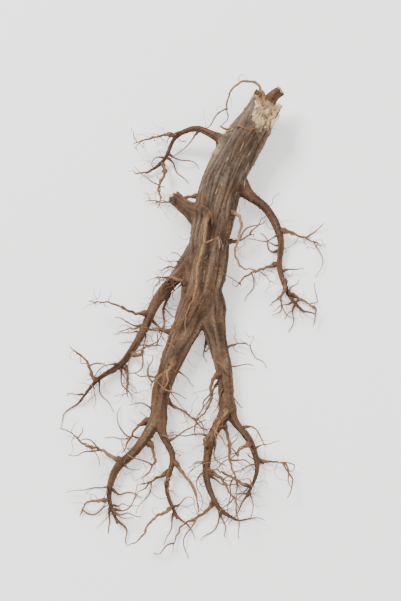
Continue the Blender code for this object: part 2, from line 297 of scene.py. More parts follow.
@lru_cache(maxsize=None)
def rootlet_routes():
    """Routes of the solid's rootlets, those with a place of their own first and then the seeded ones."""
    draw = random.Random(SEED)
    routes = [smooth_line(points, STEP)[0] for points in SHOWN_ROOTLETS.values()]
    lines = {name: member_line(name, 1.0)[0] for name in MEMBERS}
    turn = 0.0
    for name, (count, first, last) in SEEDED_ROOTLETS.items():
        line = lines[name]
        tangent, up, side = upright_frame(line)
        for k in range(count):
            turn += GOLDEN_ANGLE
            for _ in range(TRIES):
                share = first + (last - first) * (k + draw.uniform(0.1, 0.9)) / count
                at = round(share * (len(line) - 1))
                angle = turn + draw.uniform(-0.9, 0.9)
                spoke = math.cos(angle) * up[at] + math.sin(angle) * side[at]
                heading = unit(spoke + tangent[at] * draw.uniform(0.1, 1.0))
                base = line[at, :3] + spoke * line[at, 3] * 0.45
                route = wander(draw, base, heading)
                if stands_clear(route, routes, lines.values()):
                    routes.append(route)
                    break
    return routes


# Random fields and small formulas

def gradient_noise(points, seed, spacing=1.0):
    """Smooth random field, about -1 to 1: slopes at the eight corners of a cell, faded together."""
    chance = np.random.default_rng(seed)
    order = chance.permutation(256)
    slopes = unit(chance.normal(size=(256, 3)))
    points = points / np.array(spacing)
    cell = np.floor(points).astype(np.int64)
    inside = points - cell
    fade = inside**3 * (inside * (inside * 6 - 15) + 10)
    total = np.zeros(points.shape[:-1])
    for corner in np.ndindex(2, 2, 2):
        near = cell + np.array(corner)
        pick = order[(order[(order[near[..., 0] & 255] + near[..., 1]) & 255] + near[..., 2]) & 255]
        weight = np.prod(np.where(corner, fade, 1 - fade), axis=-1)
        total += weight * (slopes[pick] * (inside - np.array(corner))).sum(-1)
    return total * 1.6


def layered_noise(points, seed, octaves, spacing=1.0):
    """Several noises added, each half as large and half as strong as the one before."""
    return sum(gradient_noise(points * 2**k, seed + k, spacing) / 2**k for k in range(octaves))


def mounds(points, centres, sizes, heights):
    """Round bumps or dents: each centre adds its height times exp(-(distance / size) squared)."""
    total = np.zeros(len(points))
    for centre, size, height in zip(centres, sizes, heights):
        total += height * np.exp(-((points - centre) ** 2).sum(1) / size**2)
    return total


def bell(distance, width, power=2):
    """One at no distance, fading as exp(-(distance / width) to the power)."""
    return np.exp(-((distance / width) ** power))


def outward(angle, up, side):
    """The direction at an angle round a line: cos(angle) * up + sin(angle) * side."""
    return np.cos(angle)[..., None] * up + np.sin(angle)[..., None] * side


def step_lengths(routes):
    """The distance between neighbouring stations of many routes."""
    return np.linalg.norm(np.diff(routes, axis=1), axis=-1)


# Meshes

def grid_quads(index):
    """Quads between the neighbours in grids of point numbers, each wound along its row first."""
    corners = index[..., :-1, :-1], index[..., :-1, 1:], index[..., 1:, 1:], index[..., 1:, :-1]
    return np.stack(corners, axis=-1).reshape(-1, 4)


def tube_faces(index, first, last):
    """Quads round the rings of tubes, and a fan of triangles from each end point to its end ring."""
    closed = np.concatenate([index, index[..., :1]], axis=-1)
    near, far = closed[..., 0, :], closed[..., -1, :]
    fans = (first, near[..., 1:], near[..., :-1]), (last, far[..., :-1], far[..., 1:])
    fans = [np.stack(np.broadcast_arrays(*fan), axis=-1).reshape(-1, 3) for fan in fans]
    return grid_quads(closed), np.vstack(fans)


def mesh_of(name, points, quads, fans=np.zeros((0, 3), int)):
    """A mesh from points in millimetres and its four- and three-sided faces."""
    mesh = bpy.data.meshes.new(name)
    mesh.vertices.add(len(points))
    mesh.vertices.foreach_set("co", (points * MM).astype(np.float32).ravel())
    corners = np.concatenate([quads.ravel(), fans.ravel()]).astype(np.int32)
    sizes = np.concatenate([np.full(len(quads), 4), np.full(len(fans), 3)])
    starts = np.concatenate([[0], np.cumsum(sizes)[:-1]]).astype(np.int32)
    mesh.loops.add(len(corners))
    mesh.loops.foreach_set("vertex_index", corners)
    mesh.polygons.add(len(sizes))
    mesh.polygons.foreach_set("loop_start", starts)
    mesh.update(calc_edges=True)
    return mesh


def points_and_normals(mesh):
    """A mesh's points in millimetres, and its normals."""
    found = []
    for field in ("co", "normal"):
        values = np.empty(len(mesh.vertices) * 3, np.float32)
        mesh.vertices.foreach_get(field, values)
        found.append(values.reshape(-1, 3).astype(float))
    return found[0] / MM, found[1]


def set_marks(mesh, marks):
    """Named values on each vertex, which the finish reads."""
    for key, value in marks.items():
        kind, field = ("FLOAT_VECTOR", "vector") if value.ndim == 2 else ("FLOAT", "value")
        mark = mesh.attributes.new(key, kind, "POINT")
        mark.data.foreach_set(field, np.ascontiguousarray(value, np.float32).ravel())
    mesh.update()


# The bark's skin

@lru_cache(maxsize=None)
def fine_member(name):
    """A member's fine line, the length along it, and its tangent, upward and sideways normals."""
    line, along = member_line(name, FINE)
    return line, along, *upright_frame(line)


def flare(line, parent, spread):
    """Widening of a member's base: most inside its parent, then fading with the distance out of it."""
    stem = member_line(parent, 1.0)[0]
    gap = distances(line[:, :3], stem) - stem[:, 3]
    return 1 + spread * np.exp(-np.clip(gap.min(axis=1), 0, None) / (0.5 * line[0, 3]))


def crown_cap(centre, ahead, spoke, radius, angle):
    """Rings of the torn crown, from near its middle to its rim: a slanted dish of broken, lumpy fibre."""
    shares = np.linspace(0.08, 0.97, 22)[:, None]
    rise = shares * rim_height(angle)[None] + (1 - shares) * (CROWN_SLANT - CROWN_DISH)
    flat = np.stack([shares * 5 * np.cos(angle), shares * 5 * np.sin(angle), 0 * rise], axis=-1)
    lumps = 0.75 * layered_noise(flat, 71, 3, 1.9) + 0.5 * np.abs(gradient_noise(flat, 75, 0.8))
    rise = rise + lumps * np.minimum(1, 4 * (1 - shares) + 0.3)
    return centre + shares[..., None] * radius[:, None] * spoke + rise[..., None] * ahead


def member_tube(name):
    """A member as rings and two end points: the solid's own radius formula on a finer grid."""
    line, along, tangent, up, side = fine_member(name)
    sides = TRUNK_SIDES if name == "trunk" else MEMBER_SIDES
    angle = np.linspace(0, 2 * math.pi, sides, endpoint=False)
    spoke = outward(angle, up[:, None], side[:, None])
    length, turn = np.meshgrid(along, angle, indexing="ij")
    radius = line[:, 3:4] * furrowed(length, turn, 1.1 * ORDER.index(name))
    first, last = line[0, :3], line[-1, :3]
    if name == "trunk":
        face, reach = torn_face(length, turn, line[:, 3:4])
        radius = np.where(length < reach, np.minimum(radius, face), radius)
    else:
        parent = {"right_fork": "right_leg"}.get(name, "trunk")
        radius = radius * flare(line, parent, 0.0 if name in NECK else 0.4)[:, None]
    rings = line[:, None, :3] + spoke * radius[..., None]
    if name == "trunk":
        cap = crown_cap(line[0, :3], -tangent[0], spoke[0], radius[0], angle)
        rings = np.concatenate([cap, rings])
        first = cap[0].mean(axis=0)
    dome = -0.25 if name in BROKEN_ENDS else 0.9
    return rings, first, last + tangent[-1] * dome * line[-1, 3]


def merged_skin(name, cell):
    """One closed skin round all members: small cells fill the tubes, and their outer shell is smoothed."""
    points, quads, fans, shift = [], [], [], 0
    for member in ORDER:
        rings, first, last = member_tube(member)
        end = shift + rings[..., 0].size
        four, three = tube_faces(np.arange(shift, end).reshape(rings.shape[:2]), end, end + 1)
        points += [rings.reshape(-1, 3), first, last]
        quads.append(four)
        fans.append(three)
        shift = end + 2
    rough = mesh_of(name + "_rough", np.vstack(points), np.vstack(quads), np.vstack(fans))
    block = bpy.data.objects.new(rough.name, rough)
    bpy.context.scene.collection.objects.link(block)
    remesh = block.modifiers.new("cells", "REMESH")
    remesh.mode = "VOXEL"
    remesh.voxel_size = cell
    smooth = block.modifiers.new("smooth", "SMOOTH")
    smooth.factor = 0.5
    smooth.iterations = SMOOTHING
    bpy.context.view_layer.update()
    mesh = bpy.data.meshes.new_from_object(block.evaluated_get(bpy.context.evaluated_depsgraph_get()))
    mesh.name = name
    bpy.data.objects.remove(block)
    bpy.data.meshes.remove(rough)
    return mesh


def place_on(points, name):
    """Where points lie by a member: how far along, at what angle, how far out, its radius, and their gap."""
    line, along, tangent, up, side = fine_member(name)
    squares = (line[:, :3] ** 2).sum(1)[None] - 2 * points @ line[:, :3].T
    near = squares.argmin(axis=1)
    away = points - line[near, :3]
    forward = (away * tangent[near]).sum(1)
    across = away - forward[:, None] * tangent[near]
    angle = np.arctan2((across * side[near]).sum(1), (across * up[near]).sum(1))
    out = np.linalg.norm(across, axis=1)
    radius = line[near, 3]
    beyond = ((near == 0) & (forward < 0)) | ((near == len(line) - 1) & (forward > 0))
    past = np.where(beyond, np.abs(forward) - np.minimum(radius, END_ROOM), -radius)
    return along[near] + forward, angle, out, radius, np.maximum(out - radius, past)


def wrinkles(straight, along, radius, sizes, seed):
    """Relief of dried bark in millimetres, from coordinates in which the member is straight.

    Folds and pleats are the size of a noise stretched along the root, so that its zero lines are
    sharp valleys between round ridges. Short rings cross them, and a fine grain lies over all.
    """
    thick = np.clip(radius / BODY_RADIUS, 0.12, 1.1)
    bend = straight + 0.7 * gradient_noise(straight, seed + 50, (5.0, 5.0, 12.0))[:, None]
    folds = np.abs(layered_noise(bend, seed, 2, (2.0, 2.0, 22.0)))
    pleats = np.abs(gradient_noise(bend, seed + 9, (0.85, 0.85, 9.0)))
    lines = gradient_noise(bend, seed + 14, (0.45, 0.45, 5.0))
    grain = layered_noise(straight, seed + 20, 2, (0.5, 0.5, 0.9))
    wave = np.abs(np.sin(math.pi * (along + gradient_noise(straight, seed + 30, 3.0)) / 1.7))
    ringed = gradient_noise(straight, seed + 31, (3.0, 3.0, 5.0))
    ringed = np.clip(ringed - 0.1 + 0.35 * np.clip(1 - thick, 0, 1), 0, 1)
    relief = sizes.fold_depth / MM * (np.minimum(folds, 0.7) ** 0.7 - 0.45) * 2.0
    relief += sizes.pleat_depth / MM * (np.minimum(pleats, 0.6) ** 0.8 - 0.3) * 2.0
    relief += sizes.grain_depth / MM * (grain + lines)
    relief -= sizes.ring_depth / MM * ringed * (1 - wave) ** 3 * 2.4
    swell = 0.11 * radius * gradient_noise(straight, seed + 40, (4.0, 4.0, 4.5))
    return relief * thick**0.25 + swell * (1.1 - thick)


def torn_relief(flat):
    """Relief of torn wood in millimetres: broad lumps, pits, and fibre bundles that run along the root."""
    lumps = 0.55 * layered_noise(flat, 305, 2, (1.6, 1.6, 2.2))
    bundles = 0.5 * np.abs(gradient_noise(flat, 307, (0.55, 0.55, 3.6))) - 0.15
    pits = np.clip(gradient_noise(flat, 309, (0.9, 0.9, 1.6)) - 0.25, 0, 1)
    return lumps + bundles - 1.3 * pits


def crown_marks(flat, along, angle, out, radius):
    """How far each point of the body lies inside the crown's torn wood, and the lift of the torn edge."""
    ragged = 1.3 * gradient_noise(flat, 303, 1.3) + 0.7 * gradient_noise(flat, 304, 0.5)
    face, reach = torn_face(along, angle, radius, ragged)
    inside = np.minimum(reach - along, radius * furrowed(along, angle, 0.0) - face)
    end = np.clip((0.93 - out / radius) / 0.1, 0, 1) * (along < 2.5)
    wood = np.maximum(np.clip(inside / 0.4 + 0.3, 0, 1), end)
    return wood, 0.35 * bell(inside + 0.45, 0.4) * (along < TEAR_LENGTH + 2) * (1 - end)


def left_side(flat, along, angle):
    """The raised ridge on the body's left, painted pale as a highlight, and the greyer flank about it, each
    one on its own line.
    """
    waver = 0.08 * np.sin(0.9 * along) + 0.25 * gradient_noise(flat, 311, 2.5)
    ridge = bell(angle + 0.98 + waver, 0.16) * bell(along - 16.0, 7.0, 4)
    return ridge, bell(angle + 0.75, 0.55) * bell(along - 14.0, 17.0, 4)


def broken_end(name, flat, along, out, radius):
    """One on the torn wood at a snapped member's end, with a ragged border."""
    past = along - fine_member(name)[1][-1] + 1.0 + 0.6 * gradient_noise(flat, 313, 1.2)
    return np.clip(past / 0.3, 0, 1) * np.clip((1.0 - out / radius) / 0.15, 0, 1)


def skin_marks(points, sizes):
    """Relief and colour marks of every point of the skin, blended where two members meet."""
    places = [place_on(points, name) for name in ORDER]
    gaps = np.array([place[-1] for place in places])
    weights = np.exp(-(gaps - gaps.min(axis=0)) / sizes.blend_width * MM)
    weights /= weights.sum(axis=0)
    leader = weights.argmax(axis=0)
    marks = {key: np.zeros(len(points)) for key in ("relief", "bare", "radius", "ridge", "flank", "brown")}
    straight, twisted = np.zeros((2, len(points), 3))
    for k, (name, place) in enumerate(zip(ORDER, places)):
        near = weights[k] > 0.02
        along, angle, out, radius = (value[near] for value in place[:4])
        broad = np.maximum(radius, 2.4)
        flat, turned = (
            np.stack([broad * np.cos(a), broad * np.sin(a), along], axis=-1) + MEMBER_APART * k
            for a in (angle, angle - TWIST * along)
        )
        wood, lift, ridge, flank = np.zeros((4, len(along)))
        brown = 1.0
        if name == "trunk":
            wood, lift = crown_marks(flat, along, angle, out, radius)
            ridge, flank = left_side(flat, along, angle)
            brown = np.clip((along - 24.0) / 40.0, 0, 1)
        if name in BROKEN_ENDS:
            wood = broken_end(name, flat, along, out, radius)
        skin = wrinkles(flat, along, radius, sizes, 100 + 13 * k)
        worn = torn_relief(flat) * np.clip(radius / 4, 0.3, 1)
        relief = skin * (1 - wood) + worn * wood + lift + 0.4 * ridge
        for key, value in zip(marks, (relief, wood, radius, ridge, flank, brown)):
            marks[key][near] += weights[k][near] * value
        first = leader[near] == k
        straight[np.flatnonzero(near)[first]] = flat[first]
        twisted[np.flatnonzero(near)[first]] = turned[first]
    neck = weights[[ORDER.index(name) for name in NECK]].sum(axis=0)
    slim = np.clip((2.9 - marks.pop("radius")) / 2.0, 0, 1)
    return marks | {
        "straight": straight,
        "twisted": twisted,
        "slim": slim,
        "grey": 1 - 0.5 * marks["brown"],
        "red": np.maximum(0.94 * slim - 0.19, neck),
        "seam": np.clip(4 * (1 - weights.max(axis=0)) - 0.4, 0, 1),
    }


def rootlet_exits():
    """The point where each rootlet of the solid leaves the bark."""
    exits = []
    for route in rootlet_routes():
        fine = smooth_line(route, 0.2)[0]
        gaps = np.min([place_on(fine, name)[-1] for name in ORDER], axis=0)
        exits.append(fine[np.argmax(gaps > 0)])
    return np.array(exits)


def bark_mesh(name, sizes):
    """The root's skin: the merged members, pushed out or in by their wrinkles, knots, scars and warts."""
    mesh = merged_skin(name, sizes.cell_size)
    points, normals = points_and_normals(mesh)
    marks = skin_marks(points, sizes)
    chance = np.random.default_rng(11)
    exits = rootlet_exits()
    knots = mounds(points, exits, chance.uniform(0.7, 1.1, len(exits)), chance.uniform(0.3, 0.6, len(exits)))
    spots = points[chance.choice(len(points), sizes.warts, replace=False)]
    heights = chance.choice([-0.22, 0.16, 0.24, 0.34], len(spots)) * chance.uniform(0.6, 1.2, len(spots))
    warts = mounds(points, spots, chance.uniform(0.35, 0.75, len(spots)), heights)
    thick = np.clip(1.3 - marks.pop("slim"), 0.3, 1)
    bare = marks.pop("bare")
    points += normals * (marks["relief"] + thick * (knots + warts) * (1 - 0.7 * bare))[:, None]
    points[:, 2] = np.maximum(points[:, 2], 0)
    marks["relief"] = np.clip(marks["relief"] / RELIEF_RANGE + 0.8 * warts, -1, 1)
    # Pale dust on the ridge tops, partly a painted highlight: paler the higher the relief.
    marks["dust_and_highlight"] = np.clip((marks["relief"] - 0.1) / 0.7, 0, 1)
    marks["wood"] = np.clip((bare - 0.35) / 0.25, 0, 1)
    mesh.vertices.foreach_set("co", (points * MM).astype(np.float32).ravel())
    set_marks(mesh, marks)
    return mesh


# Wires: rootlets, twigs, hairs and fibres

def wires(name, routes, radii, shade, sides, knotty=0.0):
    """Tubes carried along many routes of equal count at once, closed at both ends, and off the floor.

    The ring at a station is centre + radius * (cos(a) * normal + sin(a) * other), and each normal is
    the one before it squared to the new tangent, so that no tube twists.
    """
    count, stations = radii.shape
    height = np.maximum(routes[..., 2:], radii[..., None])
    routes = np.concatenate([routes[..., :2], height], axis=-1)
    tangent = unit(np.gradient(routes, axis=1))
    normal = np.empty_like(routes)
    normal[:, 0] = unit(np.cross(tangent[:, 0], (0.13, 0.21, 1.0)))
    for k in range(1, stations):
        carried = normal[:, k - 1]
        normal[:, k] = unit(carried - (carried * tangent[:, k]).sum(-1, keepdims=True) * tangent[:, k])
    angle = np.linspace(0, 2 * math.pi, sides, endpoint=False)
    spoke = outward(angle, normal[:, :, None], np.cross(tangent, normal)[:, :, None])
    across = np.broadcast_to(radii[:, :, None], (count, stations, sides))
    length = step_lengths(routes).mean(axis=1)[:, None] * np.arange(stations)[None]
    own = WIRE_APART * np.arange(count)[:, None, None]
    straight = np.stack([
        across * np.cos(angle) + own,
        across * np.sin(angle),
        np.broadcast_to(length[..., None], across.shape),
    ], axis=-1)
    bumps = layered_noise(straight, 401, 2, (0.6, 0.6, 0.9)) if knotty else 0.0
    rings = routes[:, :, None] + spoke * (across * (1 + knotty * bumps))[..., None]
    tips = routes[:, -1] + tangent[:, -1] * radii[:, -1:]
    points = np.vstack([rings.reshape(-1, 3), routes[:, 0], tips])
    points[:, 2] = np.maximum(points[:, 2], 0)
    starts = across.size + np.arange(count)[:, None]
    faces = tube_faces(np.arange(across.size).reshape(across.shape), starts, starts + count)
    mesh = mesh_of(name, points, *faces)
    marks = {
        "straight": straight,
        "shade": shade[:, None, None],
        "tipward": np.linspace(0, 1, stations)[None, :, None],
        "foot": foot_share(routes)[..., None],
    }
    for key, value in marks.items():
        spread = np.broadcast_to(value, straight.shape if value.ndim == 4 else across.shape)
        tail = spread.shape[3:]
        marks[key] = np.concatenate([spread.reshape(-1, *tail), spread[:, 0, 0], spread[:, -1, 0]])
    set_marks(mesh, marks)
    return mesh


def foot_share(routes):
    """One where a wire leaves the bark, fading over the next three millimetres of the wire."""
    gap = bark_gap(routes)
    run = np.pad(np.cumsum(step_lengths(routes) * (gap[:, 1:] > 0), axis=1), ((0, 0), (1, 0)))
    return np.clip(1.5 - run / 2, 0, 1) * bell(np.clip(gap - 0.3, 0, None), 1.2)


def evenly(route, stations):
    """A route as a smooth line with a given number of stations."""
    line = smooth_line(route, 0.1)[0]
    pick = np.linspace(0, len(line) - 1, stations)
    return np.column_stack([np.interp(pick, np.arange(len(line)), column) for column in line.T])


@lru_cache(maxsize=None)
def body_stations():
    """Every member's stations in one array, to keep thin wires out of the body."""
    return np.vstack([member_line(name, 0.8)[0] for name in ORDER])


def bark_gap(points):
    """How far points stand off the members' smooth skin; less than nothing inside it.

    The torn crown and its neck have no such skin and are left out.
    """
    stations = np.vstack([
        member_line(name, 0.8)[0][10 * (name == "trunk"):] for name in ORDER if name not in NECK
    ])
    parts = np.array_split(points.reshape(-1, 3), 16)
    gaps = [(distances(part, stations) - stations[:, 3]).min(axis=1) for part in parts]
    return np.concatenate(gaps).reshape(points.shape[:-1])


def kept_out(points, margin):
    """Points moved to a margin off the body's smooth radius, above the floor and inside the solid's box."""
    stations = body_stations()
    gap = distances(points, stations) - stations[:, 3]
    nearest = stations[gap.argmin(axis=1), :3]
    short = np.maximum(margin - gap.min(axis=1), 0)
    moved = points + unit(points - nearest) * short[:, None]
    low, high = np.array(CAD_BOX) / MM
    return np.clip(moved, [low[0] + 0.3, low[1] + 0.3, 0.2], high - 0.3)


def grown(starts, headings, steps, chance, count, curl, droop, margin):
    """Many curly routes at once: each heading turns by its own slow waves and sinks a little."""
    routes = np.empty((len(starts), count + 1, 3))
    routes[:, 0] = starts
    size = chance.uniform(0.3, 1.0, (len(starts), 3)) * curl
    rate = chance.uniform(0.3, 1.1, (len(starts), 3))
    phase = chance.uniform(0, 2 * math.pi, (len(starts), 3))
    heading = unit(headings)
    for k in range(count):
        heading = unit(heading + size * np.sin(rate * k + phase) - np.array([0, 0, droop]))
        ahead = routes[:, k] + heading * steps[:, None]
        if k > 1:
            ahead = kept_out(ahead, margin)
            heading = unit(0.4 * heading + 0.6 * unit(ahead - routes[:, k]))
        routes[:, k + 1] = ahead
    return routes


def smoothed(routes, factor):
    """Routes with new stations between the old ones, on a curve through the old ones."""
    return np.array([evenly(route, (len(route) - 1) * factor + 1) for route in routes])


def thinning(thick, first, last, stations):
    """Radii of wires that thin evenly from a first to a last share of their own thickness."""
    return thick * np.linspace(first, last, stations)[None]


def rootlet_centres():
    """Centre lines of the solid's rootlets, with the kinks that drying gives them and their feet sunk in."""
    routes = np.array([evenly(route, ROOTLET_STATIONS) for route in rootlet_routes()])
    own = 17.0 * np.arange(len(routes))[:, None, None]
    kinks = np.stack([gradient_noise(routes / 1.6 + own, 510 + axis) for axis in range(3)], axis=-1)
    share = np.linspace(0, 1, ROOTLET_STATIONS)[None, :, None]
    routes = routes + 0.38 * kinks * np.clip(share * 5, 0, 1)
    body = body_stations()
    inward = body[distances(routes[:, 0], body).argmin(axis=1), :3] - routes[:, 0]
    length = step_lengths(routes).sum(axis=1)[:, None, None]
    routes = routes + 0.8 * inward[:, None] * bell(share * length, 1.0)
    routes[..., 2] = np.maximum(routes[..., 2], ROOTLET_RADIUS * 0.8)
    return routes


def rootlet_radii(routes, chance):
    """Radii that thin from base to tip, with a flared foot and a few knots on each rootlet."""
    count, stations = routes.shape[:2]
    share = np.linspace(0, 1, stations)[None]
    length = step_lengths(routes).sum(axis=1)[:, None]
    radii = ROOTLET_RADIUS * (1.3 - 1.0 * share) * np.ones((count, 1))
    for _ in range(4):
        centre = chance.uniform(0.15, 0.95, (count, 1))
        tall = chance.uniform(0.0, 0.55, (count, 1))
        radii *= 1 + tall * bell((share - centre) * length, 0.55)
    body = body_stations()
    parent = body[distances(routes[:, 0], body).argmin(axis=1), 3:]
    most = 0.5 * parent + 0.3 * share * length
    return np.minimum(radii * (1 + 0.9 * foot_share(routes)), most)


def tail_routes(chance):
    """Routes that carry each whole member's tip on into a curly thread, and the radii along them."""
    ends = [fine_member(name)[0][-4:] for name in ORDER if name not in (*BROKEN_ENDS, *NECK)]
    first, last = np.array(ends)[:, 0], np.array(ends)[:, -1]
    steps = chance.uniform(0.75, 1.05, len(ends))
    starts, headings = first[:, :3], (last - first)[:, :3]
    routes = grown(starts, headings, steps, chance, count=12, curl=0.34, droop=0.02, margin=0.0)
    routes = smoothed(routes, 3)
    share = np.linspace(0, 1, routes.shape[1])[None]
    return routes, first[:, 3:] * (0.95 - 0.8 * share**0.7)


def branch_starts(routes, number, first, chance):
    """Random points on the routes from a share of their length on, with outward slanting headings."""
    count, stations = routes.shape[:2]
    which = chance.integers(0, count, number)
    at = chance.integers(int(first * stations), stations - 1, number)
    along = unit(routes[which, at] - routes[which, at - 1])
    aside = unit(np.cross(along, chance.normal(size=(number, 3))))
    return routes[which, at], along * chance.uniform(0.0, 0.9, (number, 1)) + aside


def member_starts(number, first, chance):
    """Random points just under the bark of the members, with outward slanting headings."""
    starts, headings = [], []
    for name, weight in SPROUTING.items():
        line = member_line(name, 0.6)[0]
        tangent, up, side = upright_frame(line)
        some = round(number * weight)
        at = ((first + (0.98 - first) * chance.uniform(0, 1, some) ** 0.7) * (len(line) - 1)).astype(int)
        out = outward(chance.uniform(0, 2 * math.pi, some), up[at], side[at])
        starts.append(line[at, :3] + 0.8 * out * line[at, 3:4])
        headings.append(out + tangent[at] * chance.uniform(0.0, 1.0, (some, 1)))
    return np.vstack(starts), np.vstack(headings)


def sprouts(routes, number, chance, on_routes, on_members):
    """Starts and headings of new wires, half on routes and half on members, from a share of each on."""
    branches = branch_starts(routes, number // 2, on_routes, chance)
    shoots = member_starts(number - number // 2, on_members, chance)
    return [np.vstack(pair) for pair in zip(branches, shoots)]


# The torn crown's fibres and curls

def fibre_routes(number, chance):
    """Bent fibres: most stand on the crown's end, the rest lie over the torn face."""
    line, along, tangent, up, side = fine_member("trunk")
    on_end = np.arange(number) < 0.6 * number
    beside = TEAR_FACING + chance.uniform(-0.85, 0.85, number)
    angle = np.where(on_end, chance.uniform(0, 2 * math.pi, number), beside)
    place = np.where(on_end, 0.0, chance.uniform(0.3, 1.0, number) * TEAR_LENGTH)
    share = np.sqrt(chance.uniform(0.02, 1.0, number)) * 0.95
    station = np.clip(np.round(place / along[1]).astype(int), 0, len(line) - 1)
    radius = line[station, 3]
    face, _ = torn_face(place, angle, radius)
    out = outward(angle, up[station], side[station])
    rise = share * rim_height(angle) + (1 - share) * (CROWN_SLANT - CROWN_DISH) - 0.5
    from_axis = np.where(on_end, share * (radius - 0.4), np.minimum(face, radius) - 0.35)
    starts = line[station, :3] + out * from_axis[:, None]
    starts -= tangent[station] * np.where(on_end, rise, 0.0)[:, None]
    lift = np.where(on_end, chance.uniform(-0.5, 0.7, number), chance.uniform(0.05, 0.4, number))
    heading = unit(-tangent[station] + out * lift[:, None] + 0.3 * chance.normal(size=(number, 3)))
    bend = 0.13 * chance.normal(size=(number, 3)) - np.where(on_end, 0.0, 0.09)[:, None] * out
    steps = chance.uniform(0.09, 0.25, number)
    routes = np.empty((number, 10, 3))
    routes[:, 0] = starts
    for k in range(9):
        heading = unit(heading + bend)
        routes[:, k + 1] = routes[:, k] + heading * steps[:, None]
    return routes, thinning(chance.uniform(0.035, 0.115, (number, 1)), 1.2, 0.4, 10)


def curl_mesh(name):
    """Curled strips of torn skin along the edges of the torn face.

    A strip's point is its foot + roll * (sin(turn) * out + (1 - cos(turn)) * inward), where the turn
    grows across the strip and the foot follows the edge between the face and the bark.
    """
    line, along, _, up, side = fine_member("trunk")
    u, v = np.meshgrid(*(np.linspace(0, 1, count) for count in CURL_GRID), indexing="ij")
    points, flat = [], []
    for k, (start, end, sign, width, roll) in enumerate(CURLS):
        place = start + (end - start) * u
        radius = np.interp(place, along, line[:, 3])
        depth = TEAR_STEP + (TEAR_DEPTH - TEAR_STEP) * (1 - place / TEAR_LENGTH)
        wave = 0.05 * np.sin(7 * u + k) + 0.02 * np.sin(17 * u + 2 * k)
        angle = TEAR_FACING + sign * (np.arccos(np.clip((radius - depth) / radius, -1, 1)) + wave)
        centre, above, aside = (
            np.stack([np.interp(place, along, column) for column in part.T], axis=-1)
            for part in (line[:, :3], up, side)
        )
        out = outward(angle, above, aside)
        inward = sign * outward(angle - math.pi / 2, above, aside)
        ragged = gradient_noise(np.stack([4 * u, 0 * u, 3.0 * k + 0 * u], axis=-1), 620)
        across = width * v * np.sin(math.pi * np.clip(0.08 + 0.86 * u, 0, 1)) ** 0.5 * (1 + 0.2 * ragged)
        rolled = roll * (1 + 0.25 * np.sin(5 * u + k))
        turn = across / rolled
        foot = centre + out * (0.96 * radius - 0.3)[..., None]
        shape = rolled[..., None] * (np.sin(turn)[..., None] * out + (1 - np.cos(turn))[..., None] * inward)
        fibres = 0.14 * gradient_noise(np.stack([across / 0.35, 0 * u + k, place / 2.2], axis=-1), 630)
        points.append(foot + shape + (0.15 * across + fibres)[..., None] * out)
        flat.append(np.stack([across, 0 * across + 7.0 * k, place], axis=-1))
    index = np.arange(len(CURLS) * u.size).reshape(-1, *CURL_GRID)
    mesh = mesh_of(name, np.array(points).reshape(-1, 3), grid_quads(index.swapaxes(1, 2)))
    shade = np.repeat(np.linspace(0.95, 0.6, len(CURLS)), u.size)
    tipward = np.tile(0.6 * v.ravel(), len(CURLS))
    set_marks(mesh, {"straight": np.array(flat).reshape(-1, 3), "shade": shade, "tipward": tipward})
    return mesh


# Flakes

def flake_mesh(name, bark, sizes):
    """Thin curled flakes of loose bark: small grids laid on the skin, raised along one edge.

    A flake's point lies lift + curl * v squared off the skin's nearest tangent plane, v across the flake.
    """
    chance = np.random.default_rng(47)
    count = sizes.flakes
    skin, normals = points_and_normals(bark)
    along, *_, gap = place_on(skin, "trunk")
    open_bark = np.flatnonzero((gap < 0.8) & (along < 62) & (along > 3) & (skin[:, 2] > 3.0))
    chosen = chance.choice(open_bark, count, replace=False)
    tangent = fine_member("trunk")[2]
    station = np.clip((along[chosen] / FINE).astype(int), 0, len(tangent) - 1)
    lengthwise = unit(tangent[station] + 0.25 * chance.normal(size=(count, 3)))
    lengthwise = unit(lengthwise - (lengthwise * normals[chosen]).sum(1, keepdims=True) * normals[chosen])
    crosswise = np.cross(normals[chosen], lengthwise)
    rows, columns = FLAKE_GRID
    u, v = np.meshgrid(np.linspace(-1, 1, rows), np.linspace(0, 1, columns), indexing="ij")
    long = chance.uniform(0.8, 2.3, count)[:, None, None]
    wide = chance.uniform(0.25, 0.65, count)[:, None, None]
    own = 5.0 * np.arange(count)[:, None, None, None]
    ragged = 0.25 * gradient_noise(np.stack([u * 2.0, v * 2.0, u * 0], axis=-1) + own, 91)
    outline = np.sqrt(np.clip(1 - np.abs(u) ** 2.5, 0.03, 1)) * (1 + ragged)
    flat = (
        skin[chosen][:, None, None]
        + (long * u)[..., None] * lengthwise[:, None, None]
        + (wide * v * outline)[..., None] * crosswise[:, None, None]
    ).reshape(-1, 3)
    nearest = np.concatenate([
        ((skin**2).sum(1)[None] - 2 * part @ skin.T).argmin(axis=1) for part in np.array_split(flat, 12)
    ])
    curl = chance.uniform(0.05, 0.3, count)[:, None, None]
    lift = (0.05 + curl * v**2 * outline).reshape(-1, 1)
    height = ((flat - skin[nearest]) * normals[nearest]).sum(1, keepdims=True)
    index = np.arange(len(flat)).reshape(count, rows, columns)
    mesh = mesh_of(name, flat + normals[nearest] * (lift - height), grid_quads(index.swapaxes(1, 2)))
    shade = np.repeat(chance.uniform(0, 1, count), rows * columns)
    set_marks(mesh, {"shade": shade, "edge": np.tile(v.ravel(), count)})
    return mesh


# Making pieces

def linear(text):
    """The linear colour of an sRGB hex value, fully opaque."""
    channels = [int(text[k:k + 2], 16) / 255 for k in (1, 3, 5)]
    return [c / 12.92 if c <= 0.04045 else ((c + 0.055) / 1.055) ** 2.4 for c in channels] + [1.0]


def finished(mesh, material):
    """A piece that rides on the root's body, with its finish in a material slot."""
    mesh.shade_smooth()
    mesh.materials.append(material)
    made = bpy.data.objects.new(mesh.name, mesh)
    bpy.context.scene.collection.objects.link(made)
    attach(made, BODY)
    return made


